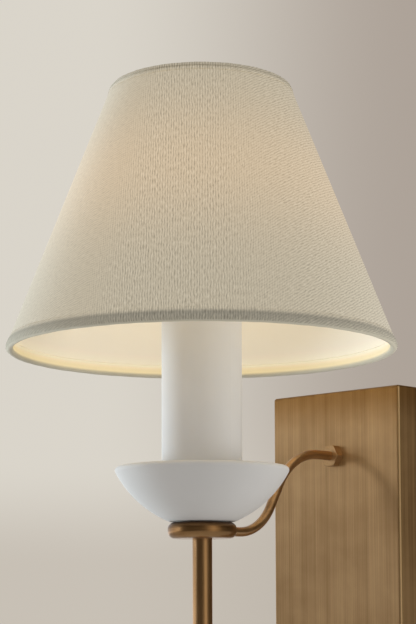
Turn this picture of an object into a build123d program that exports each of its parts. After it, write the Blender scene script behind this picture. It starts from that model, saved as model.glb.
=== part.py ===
from build123d import *
import math
import os

# A wall light with a fabric empire shade, in millimetres.
# The origin is the centre of the backplate's rear face, where it meets the wall.
# +Z is up, +X is to the right along the wall, and the wall lies on the +Y side.
# The lamp stands on a vertical axis in front of the wall: the stem, the hub, the bowl,
# the candle tube, the bulb and the shade all share it.

# ---------------------------------------------------------------- driving sizes

# Backplate: a drawn box, open towards the wall.
plate_width = 114.3
plate_height = 304.8
plate_depth = 25.4
plate_wall = 2.0
plate_arris_radius = 2.0

# Wall strap: a folded steel strip inside the backplate, screwed to the junction box.
strap_width = 38.0
strap_thickness = 2.4
strap_end_gap = 0.4
strap_tab_length = 18.0
strap_bend_radius = 3.2
box_screw_spacing = 88.9
box_slot_width = 4.8
box_slot_length = 12.0
wire_hole_radius = 9.0
wire_hole_offset = 22.0
set_screw_radius = 1.75
set_screw_length = 8.0
set_screw_setback = 12.0
set_screw_socket_radius = 0.9
ground_screw_height = 66.0
ground_screw_radius = 1.8
ground_screw_length = 6.0
ground_screw_head_radius = 3.8
ground_screw_head_thickness = 2.0
screw_slot_width = 0.9
screw_slot_depth = 0.8
screw_clearance = 0.1

# Arm: a thin brass tube bent to an S in the plane of symmetry.
arm_radius = 3.175
arm_bore_radius = 2.2
arm_below_plate_top = 45.6
arm_rise = 55.8
arm_slope = 60.0
arm_lower_bend_radius = 35.0
arm_upper_bend_radius = 45.0
arm_lower_corner = 55.0
lamp_axis_to_plate = 132.4
arm_socket_depth = 10.0
arm_seat_clearance = 0.05

# The arm's fixing through the front of the backplate, on a threaded ferrule.
ferrule_radius = 5.0
ferrule_length = 20.0
lock_nut_flats = 14.0
lock_nut_thickness = 6.0
inner_nut_flats = 14.0
inner_nut_thickness = 4.0
inner_washer_radius = 10.0
inner_washer_thickness = 1.5
nut_chamfer = 0.8
thread_clearance = 0.05

# Hub: a bullnosed brass disc that carries the bowl, the stem and the arm.
hub_radius = 22.25
hub_thickness = 10.6
hub_edge_radius = 4.6

# Stem below the hub, with its ball finial.
stem_radius = 6.35
stem_length = 160.0
stem_thread_depth = 10.0
finial_ball_radius = 8.0
finial_collar_height = 2.5
finial_spigot_length = 8.0

# Threaded lamp pipe that clamps the hub, the bowl and the socket together.
pipe_radius = 5.0
pipe_bore_radius = 3.2

# Bowl, with a wall of even thickness and a full-round lip.
bowl_radius = 56.2
bowl_height = 35.2
bowl_foot_radius = 21.5
bowl_wall = 4.6
bowl_curve_radius = 70.0
bowl_washer_radius = 17.0
bowl_washer_thickness = 0.4
tube_seat_margin = 1.6
locator_thickness = 3.0
locator_clearance = 0.2
bowl_nut_flats = 14.0
bowl_nut_thickness = 5.0

# Candle tube and its cap.
tube_radius = 26.0
tube_wall = 1.6
tube_length = 166.0
cap_flange_thickness = 1.5
cap_spigot_depth = 2.0
cap_bore_clearance = 0.3

# Lamp socket, for a medium screw bulb.
collar_radius = 19.5
socket_body_radius = 18.0
socket_shoulder_radius = 22.5
socket_shoulder_thickness = 3.0
socket_below_shoulder = 34.0
socket_bore_radius = 14.2
screw_shell_wall = 0.5
screw_shell_clearance = 0.05
screw_shell_below_mouth = 1.5
screw_shell_height = 28.0
contact_width = 5.0
contact_thickness = 0.8
socket_cap_thickness = 4.0
socket_boss_radius = 8.0
socket_boss_height = 10.0
terminal_head_radius = 3.2
terminal_head_thickness = 2.0
terminal_shank_radius = 1.5
terminal_shank_length = 3.0
terminal_height = 9.0

# Ring nut that clamps the shade on the socket's collar.
shade_ring_radius = 25.5
shade_ring_height = 7.0
shade_ring_clearance = 0.3
shade_ring_grips = 24
shade_ring_grip_radius = 1.1
collar_above_ring = 0.6
seat_gap = 0.2

# Shade frame.
fitter_bore_radius = 21.5
fitter_radius = 28.5
fitter_thickness = 2.4
fitter_above_bottom_edge = 65.9
spoke_count = 3
spoke_radius = 1.2
spoke_foot_reach = 8.0
spoke_bend_radius = 6.0
top_wire_radius = 1.4
bottom_wire_radius = 1.6

# Shade skin: an outer cloth laminated to a liner, with rolled edges over the wires.
shade_bottom_radius = 126.6
shade_top_radius = 58.6
shade_height = 173.6
cover_thickness = 1.0
liner_thickness = 0.7
hem_cloth = 0.8
hem_leg_thickness = 0.4
bottom_hem_height = 7.0
top_hem_height = 5.0
wire_clearance = 0.05
seam_width = 9.0
seam_thickness = 0.4
spoke_notch_clearance = 0.3

# Bulb, slim enough to pass through the shade's fitter.
bulb_cap_radius = 13.1
bulb_cap_wall = 0.4
bulb_cap_height = 21.0
bulb_insulator_height = 3.2
bulb_insulator_radius = 11.0
bulb_tip_radius = 4.6
bulb_tip_height = 2.0
bulb_contact_gap = 0.3
bulb_glass_radius = 15.8
bulb_glass_wall = 0.9
bulb_glass_height = 94.0
bulb_shoulder_height = 13.0
bulb_neck_radius = 12.0
bulb_neck_depth = 12.0
bulb_stem_radius = 3.4
bulb_stem_height = 34.0
bulb_filament_count = 4
bulb_filament_radius = 0.9
bulb_filament_length = 42.0
bulb_filament_lean = 6.0

# ------------------------------------------------------------- places worked out

plate_front = -plate_depth
axis_y = plate_front - lamp_axis_to_plate
arm_entry_z = plate_height / 2 - arm_below_plate_top
hub_z = arm_entry_z - arm_rise
hub_top = hub_z + hub_thickness / 2
hub_bottom = hub_z - hub_thickness / 2
bowl_foot_z = hub_top + bowl_washer_thickness
bowl_top_z = bowl_foot_z + bowl_height
tube_bore_radius = tube_radius - tube_wall


def bowl_curve_centre():
    """Centre (r, z) of the bowl's outer curve, which starts at the foot and meets the lip."""
    lip_radius = bowl_wall / 2
    lip_r = bowl_radius - lip_radius
    lip_z = bowl_top_z - lip_radius
    reach = math.hypot(lip_r - bowl_foot_radius, lip_z - bowl_foot_z)
    along_r = (lip_r - bowl_foot_radius) / reach
    along_z = (lip_z - bowl_foot_z) / reach
    near = bowl_curve_radius
    far = bowl_curve_radius - lip_radius
    along = (near**2 - far**2 + reach**2) / (2 * reach)
    across = math.sqrt(near**2 - along**2)
    centre_r = bowl_foot_radius + along * along_r - across * along_z
    centre_z = bowl_foot_z + along * along_z + across * along_r
    return centre_r, centre_z


curve_r, curve_z = bowl_curve_centre()
bowl_inner_curve_radius = bowl_curve_radius - bowl_wall
bowl_floor_radius = tube_radius + tube_seat_margin
bowl_floor_z = curve_z - math.sqrt(
    bowl_inner_curve_radius**2 - (bowl_floor_radius - curve_r) ** 2
)

tube_top = bowl_floor_z + tube_length
cap_top = tube_top + cap_flange_thickness
shoulder_top = tube_top - cap_spigot_depth
fitter_z = cap_top + seat_gap
ring_z = fitter_z + fitter_thickness + seat_gap
collar_top = ring_z + shade_ring_height + collar_above_ring
socket_bottom = shoulder_top - socket_shoulder_thickness - socket_below_shoulder
socket_cap_bottom = socket_bottom - socket_cap_thickness
socket_cavity_floor = collar_top - screw_shell_below_mouth - screw_shell_height
pipe_top = socket_bottom - socket_cap_thickness / 2
pipe_bottom = hub_bottom - stem_thread_depth

shade_bottom_z = fitter_z - fitter_above_bottom_edge
cone_angle = math.atan2(shade_bottom_radius - shade_top_radius, shade_height)
slant_length = shade_height / math.cos(cone_angle)
skin_thickness = cover_thickness + liner_thickness

bulb_tip_z = socket_cavity_floor + contact_thickness * 4 + bulb_contact_gap
bulb_cap_z = bulb_tip_z + bulb_tip_height + bulb_insulator_height
bulb_cap_top = bulb_cap_z + bulb_cap_height
glass_top = bulb_cap_top + bulb_glass_height

# ---------------------------------------------------------------- shared helpers

MERIDIAN = Plane.XZ


def on_axis(shape):
    """Moves a shape made about the origin's Z axis to the lamp's axis."""
    return Pos(0, axis_y, 0) * shape


def spin(profile):
    """A solid of revolution about the lamp's axis, from a profile in (r, z)."""
    return on_axis(revolve(MERIDIAN * profile, Axis.Z))


def profile(points):
    """A flat face from a closed run of straight sides."""
    return make_face(Polyline(*points, close=True))


def disc(outer, low, high, inner=0.0):
    """A round plate or tube about the lamp's axis between two heights."""
    body = Pos(0, axis_y, low) * extrude(Circle(outer), high - low)
    if inner > 0:
        body -= Pos(0, axis_y, low - 1) * extrude(Circle(inner), high - low + 2)
    return body


def hex_nut(flats, thickness, bore):
    """A hexagonal nut standing on the XY plane, two of its corners on the X axis."""
    blank = extrude(RegularPolygon(flats / 2, 6, major_radius=False), thickness)
    corner = flats / math.sqrt(3)
    cone = revolve(
        MERIDIAN
        * profile(
            [
                (0, 0),
                (corner - nut_chamfer, 0),
                (corner, nut_chamfer * math.tan(math.radians(30))),
                (corner, thickness - nut_chamfer * math.tan(math.radians(30))),
                (corner - nut_chamfer, thickness),
                (0, thickness),
            ]
        ),
        Axis.Z,
    )
    return (blank & cone) - extrude(Circle(bore), thickness)


def towards_room(shape, y):
    """Turns a shape that stands on XY so that it stands on the plane y, towards the room."""
    return Pos(0, y, 0) * Rot(90, 0, 0) * shape


def cone_point(along, out, from_top=False):
    """A point (r, z) of the shade: distance along its slant from an edge, and out of its face."""
    if from_top:
        along = slant_length - along
    r = shade_bottom_radius - along * math.sin(cone_angle) + out * math.cos(cone_angle)
    z = shade_bottom_z + along * math.cos(cone_angle) + out * math.sin(cone_angle)
    return r, z


def skin_layer(start, end, out_low, out_high):
    """A profile of one layer of the shade between two distances from the bottom edge."""
    return profile(
        [
            cone_point(start, out_low),
            cone_point(start, out_high),
            cone_point(end, out_high),
            cone_point(end, out_low),
        ]
    )


# ------------------------------------------------------------------ at the wall


def backplate():
    """Drawn brass box with rounded arrises, open at the back."""
    shell = Box(plate_width, plate_depth, plate_height)
    front = shell.faces().sort_by(Axis.Y)[0]
    long_edges = shell.edges().filter_by(Axis.Y)
    shell = fillet(front.edges() + long_edges, plate_arris_radius)
    hollow = Box(
        plate_width - 2 * plate_wall,
        plate_depth,
        plate_height - 2 * plate_wall,
    )
    shell = Pos(0, plate_front / 2, 0) * shell
    shell -= Pos(0, plate_front / 2 + plate_wall, 0) * hollow
    arm_hole = extrude(Circle(ferrule_radius + thread_clearance), plate_wall * 3, both=True)
    shell -= Pos(0, plate_front, arm_entry_z) * Rot(90, 0, 0) * arm_hole
    set_screw_hole = extrude(Circle(set_screw_radius + screw_clearance), plate_height)
    shell -= Pos(0, -set_screw_setback, -plate_height / 2) * set_screw_hole
    return shell


def wall_strap():
    """Steel strip with tabs folded forward at both ends, behind the backplate's ends."""
    reach = plate_height / 2 - plate_wall - strap_end_gap
    side = Polyline(
        (-strap_tab_length, -reach),
        (0, -reach),
        (0, reach),
        (-strap_tab_length, reach),
    )
    outer = make_face(
        side
        + Polyline(
            (-strap_tab_length, reach),
            (-strap_tab_length, reach - strap_thickness),
            (-strap_thickness, reach - strap_thickness),
            (-strap_thickness, strap_thickness - reach),
            (-strap_tab_length, strap_thickness - reach),
            (-strap_tab_length, -reach),
        )
    )
    strip = Pos(strap_width / 2, 0, 0) * extrude(Plane.YZ * outer, -strap_width)
    bends = strip.edges().filter_by(Axis.X).sort_by(Axis.Y)
    strip = fillet(bends[-2:], strap_bend_radius)
    drill = strap_thickness * 3
    slot = extrude(SlotOverall(box_slot_length, box_slot_width, rotation=90), drill, both=True)
    hole = extrude(Circle(wire_hole_radius), drill, both=True)
    for side_sign in (-1, 1):
        strip -= Pos(0, 0, side_sign * box_screw_spacing / 2) * Rot(90, 0, 0) * slot
        strip -= Pos(0, 0, side_sign * wire_hole_offset) * Rot(90, 0, 0) * hole
    tapped = extrude(Circle(ground_screw_radius + screw_clearance), drill, both=True)
    strip -= Pos(0, 0, ground_screw_height) * Rot(90, 0, 0) * tapped
    set_screw_hole = extrude(Circle(set_screw_radius + screw_clearance), plate_height)
    strip -= Pos(0, -set_screw_setback, -plate_height / 2) * set_screw_hole
    return strip


def plate_set_screws():
    """Two flush socket set screws, one down through the top and one up through the bottom."""
    screw = extrude(Circle(set_screw_radius), -set_screw_length)
    socket = extrude(RegularPolygon(set_screw_socket_radius, 6), -set_screw_length / 3)
    screw -= socket
    top = Pos(0, -set_screw_setback, plate_height / 2 - plate_arris_radius / 4) * screw
    return [top, mirror(top, Plane.XY)]


def ground_screw():
    """Slotted pan-head earth screw in the strap."""
    head = extrude(Circle(ground_screw_head_radius), ground_screw_head_thickness)
    head = fillet(head.edges().sort_by(Axis.Z)[-1], ground_screw_head_thickness / 2)
    slot = Box(ground_screw_head_radius * 3, screw_slot_width, screw_slot_depth * 2)
    head -= Pos(0, 0, ground_screw_head_thickness) * slot
    shank = extrude(Circle(ground_screw_radius), -min(ground_screw_length, strap_thickness))
    return Pos(0, 0, ground_screw_height) * towards_room(head + shank, -strap_thickness)


# ----------------------------------------------------------------------- the arm


def arm_line():
    """The arm's centre line: level from the hub, up the S, and level into the backplate."""
    start = axis_y + hub_radius - arm_socket_depth
    run = arm_rise / math.tan(math.radians(arm_slope))
    end = plate_front - lock_nut_thickness + ferrule_length - thread_clearance
    corners = [
        (0, start, hub_z),
        (0, axis_y + arm_lower_corner, hub_z),
        (0, axis_y + arm_lower_corner + run, arm_entry_z),
        (0, end, arm_entry_z),
    ]
    return FilletPolyline(*corners, radius=[arm_lower_bend_radius, arm_upper_bend_radius])


def arm_tube():
    """Brass tube swept along the S."""
    line = arm_line()
    section = Plane(origin=line @ 0, z_dir=line % 0)
    tube = sweep(section * Circle(arm_radius), path=line)
    bore = sweep(section * Circle(arm_bore_radius), path=line)
    return tube - bore


def arm_ferrule():
    """Threaded ferrule brazed on the arm's end."""
    body = extrude(Circle(ferrule_radius), -ferrule_length)
    body -= extrude(Circle(arm_radius + arm_seat_clearance), -ferrule_length)
    body = Pos(0, 0, arm_entry_z) * towards_room(body, plate_front - lock_nut_thickness)
    return body


def arm_lock_nut():
    """Hexagonal nut on the front of the backplate."""
    nut = hex_nut(lock_nut_flats, lock_nut_thickness, ferrule_radius + thread_clearance)
    return Pos(0, 0, arm_entry_z) * towards_room(nut, plate_front)


def arm_inner_washer():
    """Plain washer inside the backplate."""
    ring = Circle(inner_washer_radius) - Circle(ferrule_radius + thread_clearance)
    washer = extrude(ring, -inner_washer_thickness)
    return Pos(0, 0, arm_entry_z) * towards_room(washer, plate_front + plate_wall)


def arm_inner_nut():
    """Hexagonal nut inside the backplate."""
    nut = hex_nut(inner_nut_flats, inner_nut_thickness, ferrule_radius + thread_clearance)
    seat = plate_front + plate_wall + inner_washer_thickness + inner_nut_thickness
    return Pos(0, 0, arm_entry_z) * towards_room(nut, seat)


# ----------------------------------------------------------------- hub and stem


def hub_disc():
    """Bullnosed brass disc, bored for the lamp pipe and, from the side, for the arm."""
    body = disc(hub_radius, hub_bottom, hub_top)
    body = fillet(body.edges(), hub_edge_radius)
    body -= disc(pipe_radius + thread_clearance, hub_bottom - 1, hub_top + 1)
    seat = extrude(Circle(arm_radius + arm_seat_clearance), arm_socket_depth + hub_radius)
    wires = extrude(Circle(arm_bore_radius), hub_radius)
    from_side = Pos(0, axis_y + hub_radius - arm_socket_depth, hub_z) * Rot(-90, 0, 0)
    body -= from_side * seat
    body -= Pos(0, axis_y, hub_z) * Rot(-90, 0, 0) * wires
    return body


def stem_tube():
    """Brass tube screwed on the lower end of the lamp pipe."""
    bore = pipe_radius + thread_clearance
    return disc(stem_radius, hub_bottom - stem_length, hub_bottom, bore)


def stem_finial():
    """Turned ball on a short collar, with a spigot in the stem's lower end."""
    seat = hub_bottom - stem_length
    neck_z = seat - finial_collar_height
    neck_radius = min(stem_radius, finial_ball_radius)
    centre_z = neck_z - math.sqrt(finial_ball_radius**2 - neck_radius**2)
    outline = (
        Line((0, seat), (neck_radius, seat))
        + Line((neck_radius, seat), (neck_radius, neck_z))
        + ThreePointArc(
            (neck_radius, neck_z),
            (finial_ball_radius, centre_z),
            (0, centre_z - finial_ball_radius),
        )
        + Line((0, centre_z - finial_ball_radius), (0, seat))
    )
    return spin(make_face(outline)) + disc(pipe_radius, seat, seat + finial_spigot_length)


def lamp_pipe():
    """Threaded pipe from the stem up to the socket, cross-drilled where the arm comes in."""
    pipe = disc(pipe_radius, pipe_bottom, pipe_top, pipe_bore_radius)
    wires = extrude(Circle(arm_bore_radius), pipe_radius * 2)
    return pipe - Pos(0, axis_y, hub_z) * Rot(-90, 0, 0) * wires


# ------------------------------------------------------------------------- bowl


def bowl_washer():
    """Soft washer between the hub and the bowl."""
    return disc(bowl_washer_radius, hub_top, bowl_foot_z, pipe_radius + thread_clearance)


def bowl_arc(radius, start_z, end_r, end_z):
    """An arc about the bowl's curve centre, from a height up to a point near the lip."""
    low = math.asin((curve_z - start_z) / radius)
    high = math.atan2(curve_z - end_z, end_r - curve_r)
    middle = (low + high) / 2
    points = [
        (curve_r + radius * math.cos(angle), curve_z - radius * math.sin(angle))
        for angle in (low, middle, high)
    ]
    return ThreePointArc(*points)


def bowl():
    """White bowl: an even wall between two arcs about one centre, with a full-round lip."""
    lip_radius = bowl_wall / 2
    lip_r = bowl_radius - lip_radius
    lip_z = bowl_top_z - lip_radius
    outer = bowl_arc(bowl_curve_radius, bowl_foot_z, lip_r, lip_z)
    inner = bowl_arc(bowl_inner_curve_radius, bowl_floor_z, lip_r, lip_z)
    reach = math.hypot(lip_r - curve_r, lip_z - curve_z)
    lip_crown = (
        lip_r - lip_radius * (lip_z - curve_z) / reach,
        lip_z + lip_radius * (lip_r - curve_r) / reach,
    )
    hole = pipe_radius + thread_clearance
    outline = (
        Line((hole, bowl_foot_z), outer @ 0)
        + outer
        + ThreePointArc(outer @ 1, lip_crown, inner @ 1)
        + inner
        + Line(inner @ 0, (hole, bowl_floor_z))
        + Line((hole, bowl_floor_z), (hole, bowl_foot_z))
    )
    return spin(make_face(outline))


def tube_locator():
    """Steel disc that centres the candle tube on the bowl's floor."""
    outer = tube_bore_radius - locator_clearance
    hole = pipe_radius + thread_clearance
    return disc(outer, bowl_floor_z, bowl_floor_z + locator_thickness, hole)


def bowl_lock_nut():
    """Nut that clamps the bowl down on the hub."""
    nut = hex_nut(bowl_nut_flats, bowl_nut_thickness, pipe_radius + thread_clearance)
    return Pos(0, axis_y, bowl_floor_z + locator_thickness) * nut


# ------------------------------------------------------- candle tube and socket


def candle_tube():
    """White sleeve standing on the bowl's floor."""
    return disc(tube_radius, bowl_floor_z, tube_top, tube_bore_radius)


def tube_cap():
    """White cap on the tube's mouth, held up by the socket's shoulder."""
    bore = collar_radius + cap_bore_clearance
    flange = disc(tube_radius, tube_top, cap_top, bore)
    flange = fillet(flange.edges().sort_by(Axis.Z)[-1], cap_flange_thickness / 2)
    spigot = disc(tube_bore_radius - locator_clearance, shoulder_top, tube_top, bore)
    return flange + spigot


def socket_cap():
    """Lower cap of the socket, tapped for the lamp pipe."""
    bore = pipe_radius + thread_clearance
    plate = disc(socket_body_radius, socket_cap_bottom, socket_bottom, bore)
    boss = disc(socket_boss_radius, socket_cap_bottom - socket_boss_height, socket_cap_bottom, bore)
    return plate + boss


def socket_body():
    """Moulded socket: a cup with a shoulder under the tube's cap and a collar above it."""
    body = disc(socket_body_radius, socket_bottom, shoulder_top)
    body += disc(socket_shoulder_radius, shoulder_top - socket_shoulder_thickness, shoulder_top)
    body += disc(collar_radius, shoulder_top - socket_shoulder_thickness, collar_top)
    body -= disc(socket_bore_radius, socket_cavity_floor, collar_top + 1)
    body -= disc(pipe_bore_radius, socket_bottom - 1, socket_cavity_floor + 1)
    shank = extrude(Circle(terminal_shank_radius + screw_clearance), terminal_shank_length * 3)
    for turn in (90, -90):
        place = Pos(0, axis_y, socket_bottom + terminal_height) * Rot(0, turn, 0)
        body -= place * Pos(0, 0, socket_body_radius - terminal_shank_length) * shank
    return body


def socket_screw_shell():
    """Brass shell that takes the bulb's thread, with a turned-in foot."""
    outer = socket_bore_radius - screw_shell_clearance
    low = socket_cavity_floor
    high = low + screw_shell_height
    shell = disc(outer, low, high, outer - screw_shell_wall)
    foot = disc(outer, low, low + screw_shell_wall, bulb_tip_radius * 2)
    return shell + foot


def socket_contact():
    """Sprung brass tongue under the bulb's tip."""
    rise = bulb_tip_z - bulb_contact_gap - socket_cavity_floor
    reach = bulb_tip_radius * 1.6
    tongue = make_face(
        Polyline(
            (-reach, 0),
            (reach, 0),
            (reach, contact_thickness),
            (contact_thickness - reach / 2, contact_thickness),
            (bulb_tip_radius / 3, rise - contact_thickness),
            (bulb_tip_radius / 3, rise),
            (-bulb_tip_radius / 3, rise),
            (-reach, contact_thickness),
            close=True,
        )
    )
    strip = extrude(MERIDIAN * tongue, contact_width / 2, both=True)
    return Pos(0, axis_y, socket_cavity_floor) * strip


def socket_terminal_screws():
    """Two slotted terminal screws on the socket's sides."""
    shank = extrude(Circle(terminal_shank_radius), -terminal_shank_length)
    head = extrude(Circle(terminal_head_radius), terminal_head_thickness)
    slot = Box(screw_slot_width, terminal_head_radius * 3, screw_slot_depth * 2)
    head -= Pos(0, 0, terminal_head_thickness) * slot
    screw = head + shank
    height = socket_bottom + terminal_height
    return [
        Pos(0, axis_y, height) * Rot(0, turn, 0) * Pos(0, 0, socket_body_radius) * screw
        for turn in (90, -90)
    ]


# ------------------------------------------------------------------------- bulb


def bulb_contact():
    """Solder tip of the bulb."""
    tip = disc(bulb_tip_radius, bulb_tip_z, bulb_tip_z + bulb_tip_height)
    return fillet(tip.edges().sort_by(Axis.Z)[0], bulb_tip_height / 2)


def bulb_insulator():
    """Black insulator between the bulb's tip and its cap."""
    low = bulb_tip_z + bulb_tip_height
    return spin(
        profile(
            [
                (0, low),
                (bulb_tip_radius * 1.3, low),
                (bulb_insulator_radius, bulb_cap_z),
                (0, bulb_cap_z),
            ]
        )
    )


def bulb_cap():
    """Screw cap of the bulb: a thin shell with a turned-in foot."""
    shell = disc(
        bulb_cap_radius,
        bulb_cap_z,
        bulb_cap_top,
        bulb_cap_radius - bulb_cap_wall,
    )
    foot = disc(bulb_cap_radius, bulb_cap_z, bulb_cap_z + bulb_cap_wall, bulb_tip_radius)
    return shell + foot


def bulb_outline(inset):
    """Outline of the glass at an inset from its outer face: neck, shoulder, side and dome."""
    neck = bulb_neck_radius - inset
    side = bulb_glass_radius - inset
    shoulder = bulb_cap_top + bulb_shoulder_height
    dome = glass_top - bulb_glass_radius
    halfway = math.radians(45)
    low = bulb_cap_top - bulb_neck_depth
    return make_face(
        Line((0, low), (neck, low))
        + Line((neck, low), (neck, bulb_cap_top))
        + Line((neck, bulb_cap_top), (side, shoulder))
        + Line((side, shoulder), (side, dome))
        + ThreePointArc(
            (side, dome),
            (side * math.cos(halfway), dome + side * math.sin(halfway)),
            (0, dome + side),
        )
        + Line((0, dome + side), (0, low))
    )


def bulb_glass():
    """Tubular frosted glass, sealed at its neck by the mount's flare."""
    envelope = spin(bulb_outline(0)) - spin(bulb_outline(bulb_glass_wall))
    neck = bulb_cap_top - bulb_neck_depth
    return envelope + disc(bulb_neck_radius, neck - bulb_glass_wall, neck)


def bulb_mount():
    """Glass mount that carries the filaments."""
    low = bulb_cap_top - bulb_neck_depth
    return disc(bulb_stem_radius, low, low + bulb_stem_height)


def bulb_filaments():
    """Filament rods leaning on the head of the mount."""
    low = bulb_cap_top - bulb_neck_depth + bulb_stem_height
    rods = []
    for number in range(bulb_filament_count):
        turn = 360 / bulb_filament_count * (number + 0.5)
        rod = extrude(Circle(bulb_filament_radius), bulb_filament_length)
        lean = Pos(bulb_stem_radius * 0.6, 0, 0) * Rot(0, bulb_filament_lean, 0) * rod
        rods.append(Pos(0, axis_y, low) * Rot(0, 0, turn) * lean)
    top_trim = disc(bulb_glass_radius, low - bulb_filament_radius * 4, low)
    return [rod - top_trim for rod in rods]


# ------------------------------------------------------------ shade and its ring


def shade_ring():
    """Ring nut with scalloped grips, screwed on the socket's collar above the fitter."""
    bore = collar_radius + shade_ring_clearance
    ring = disc(shade_ring_radius, ring_z, ring_z + shade_ring_height, bore)
    grip = extrude(Circle(shade_ring_grip_radius), shade_ring_height)
    for number in range(shade_ring_grips):
        turn = 360 / shade_ring_grips * number
        ring -= Pos(0, axis_y, ring_z) * Rot(0, 0, turn) * Pos(shade_ring_radius, 0, 0) * grip
    return ring


def fitter_ring():
    """Flat steel ring that drops over the socket's collar."""
    high = fitter_z + fitter_thickness
    return disc(fitter_radius, fitter_z, high, fitter_bore_radius)


def ring_wire(radius, wire_radius, height):
    """A closed wire ring about the lamp's axis."""
    return Pos(0, axis_y, height) * Torus(radius, wire_radius)


def top_wire_place():
    """Centre (r, z) of the top wire's section, inside the roll of the top hem."""
    roll = top_wire_radius + hem_cloth
    return cone_point(roll, hem_leg_thickness - roll, from_top=True)


def bottom_wire_place():
    """Centre (r, z) of the bottom wire's section, inside the roll of the bottom hem."""
    roll = bottom_wire_radius + hem_cloth
    return cone_point(roll, hem_leg_thickness - roll)


def top_ring_wire():
    """Wire ring in the top edge."""
    radius, height = top_wire_place()
    return ring_wire(radius, top_wire_radius, height)


def bottom_ring_wire():
    """Wire ring in the bottom edge."""
    radius, height = bottom_wire_place()
    return ring_wire(radius, bottom_wire_radius, height)


def spokes(radius):
    """Bent wires from the fitter ring up to the top wire, one of them towards the wall."""
    end_r, end_z = top_wire_place()
    mid_z = fitter_z + fitter_thickness / 2
    line = FilletPolyline(
        (fitter_radius, 0, mid_z),
        (fitter_radius + spoke_foot_reach, 0, mid_z),
        (end_r, 0, end_z),
        radius=spoke_bend_radius,
    )
    wire = sweep(Plane(origin=line @ 0, z_dir=line % 0) * Circle(radius), path=line)
    return [on_axis(Rot(0, 0, 90 + 360 / spoke_count * n) * wire) for n in range(spoke_count)]


def fitter_spokes():
    """The spokes, fitted to the ring and to the top wire that they are welded to."""
    ring = fitter_ring()
    wire = top_ring_wire()
    return [spoke - ring - wire for spoke in spokes(spoke_radius)]


def hem_profile(wire_radius, height, from_top):
    """A rolled strip of cloth: a roll round the wire and a leg on each face of the skin."""
    roll = wire_radius + hem_cloth
    centre = cone_point(roll, hem_leg_thickness - roll, from_top)
    turn = math.degrees(cone_angle)
    leg = height - roll
    middle = cone_point(
        roll + leg / 2,
        -skin_thickness / 2,
        from_top,
    )
    legs = Rectangle(skin_thickness + 2 * hem_leg_thickness, leg)
    cloth = Pos(*centre) * Circle(roll) + Pos(*middle) * Rot(0, 0, turn) * legs
    cloth -= Pos(*centre) * Circle(wire_radius + wire_clearance)
    skin_middle = cone_point(
        skin_start(wire_radius) + height / 2,
        -skin_thickness / 2,
        from_top,
    )
    slot = Rectangle(skin_thickness, height)
    return cloth - Pos(*skin_middle) * Rot(0, 0, turn) * slot


def skin_start(wire_radius):
    """Distance from an edge at which the skin begins, just clear of the wire in the roll."""
    roll = wire_radius + hem_cloth
    return roll + wire_radius + 2 * wire_clearance


def shade_bottom_hem():
    """Rolled hem of the bottom edge."""
    return spin(hem_profile(bottom_wire_radius, bottom_hem_height, False))


def shade_top_hem():
    """Rolled hem of the top edge, notched where the spokes reach the wire."""
    hem = spin(hem_profile(top_wire_radius, top_hem_height, True))
    for spoke in spokes(spoke_radius + spoke_notch_clearance):
        hem -= spoke
    return hem


def shade_cover():
    """Outer cloth of the shade, a taut cone."""
    start = skin_start(bottom_wire_radius)
    end = slant_length - skin_start(top_wire_radius)
    return spin(skin_layer(start, end, -cover_thickness, 0))


def shade_liner():
    """Liner laminated to the inside of the cloth, notched at the top for the spokes."""
    start = skin_start(bottom_wire_radius)
    end = slant_length - skin_start(top_wire_radius)
    liner = spin(skin_layer(start, end, -skin_thickness, -cover_thickness))
    for spoke in spokes(spoke_radius + spoke_notch_clearance):
        liner -= spoke
    return liner


def shade_seam():
    """Lapped edge of the cloth down the side towards the wall."""
    low = bottom_hem_height + wire_clearance
    high = slant_length - top_hem_height - wire_clearance
    band = spin(skin_layer(low, high, 0, seam_thickness))
    depth = shade_bottom_radius + seam_thickness
    lap = Pos(0, axis_y + depth / 2, shade_bottom_z + shade_height / 2)
    return band & lap * Box(seam_width, depth, shade_height * 1.2)


# ----------------------------------------------------------------------- output

PIECES = {
    "backplate": backplate,
    "wall_strap": wall_strap,
    "plate_set_screws": plate_set_screws,
    "ground_screw": ground_screw,
    "arm_tube": arm_tube,
    "arm_ferrule": arm_ferrule,
    "arm_lock_nut": arm_lock_nut,
    "arm_inner_washer": arm_inner_washer,
    "arm_inner_nut": arm_inner_nut,
    "hub_disc": hub_disc,
    "stem_tube": stem_tube,
    "stem_finial": stem_finial,
    "lamp_pipe": lamp_pipe,
    "bowl_washer": bowl_washer,
    "bowl": bowl,
    "tube_locator": tube_locator,
    "bowl_lock_nut": bowl_lock_nut,
    "candle_tube": candle_tube,
    "tube_cap": tube_cap,
    "socket_cap": socket_cap,
    "socket_body": socket_body,
    "socket_screw_shell": socket_screw_shell,
    "socket_contact": socket_contact,
    "socket_terminal_screws": socket_terminal_screws,
    "bulb_contact": bulb_contact,
    "bulb_insulator": bulb_insulator,
    "bulb_cap": bulb_cap,
    "bulb_glass": bulb_glass,
    "bulb_mount": bulb_mount,
    "bulb_filaments": bulb_filaments,
    "shade_ring": shade_ring,
    "fitter_ring": fitter_ring,
    "fitter_spokes": fitter_spokes,
    "top_ring_wire": top_ring_wire,
    "bottom_ring_wire": bottom_ring_wire,
    "shade_liner": shade_liner,
    "shade_cover": shade_cover,
    "shade_top_hem": shade_top_hem,
    "shade_bottom_hem": shade_bottom_hem,
    "shade_seam": shade_seam,
}


def main():
    os.makedirs("parts", exist_ok=True)
    for name, make in PIECES.items():
        made = make()
        solids = made if isinstance(made, list) else [made]
        solids = [solid for shape in solids for solid in shape.solids()]
        whole = solids[0] if len(solids) == 1 else Compound(children=solids)
        export_step(whole, os.path.join("parts", name + ".step"))


main()
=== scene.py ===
import math

import bpy
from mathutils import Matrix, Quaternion, Vector


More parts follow.
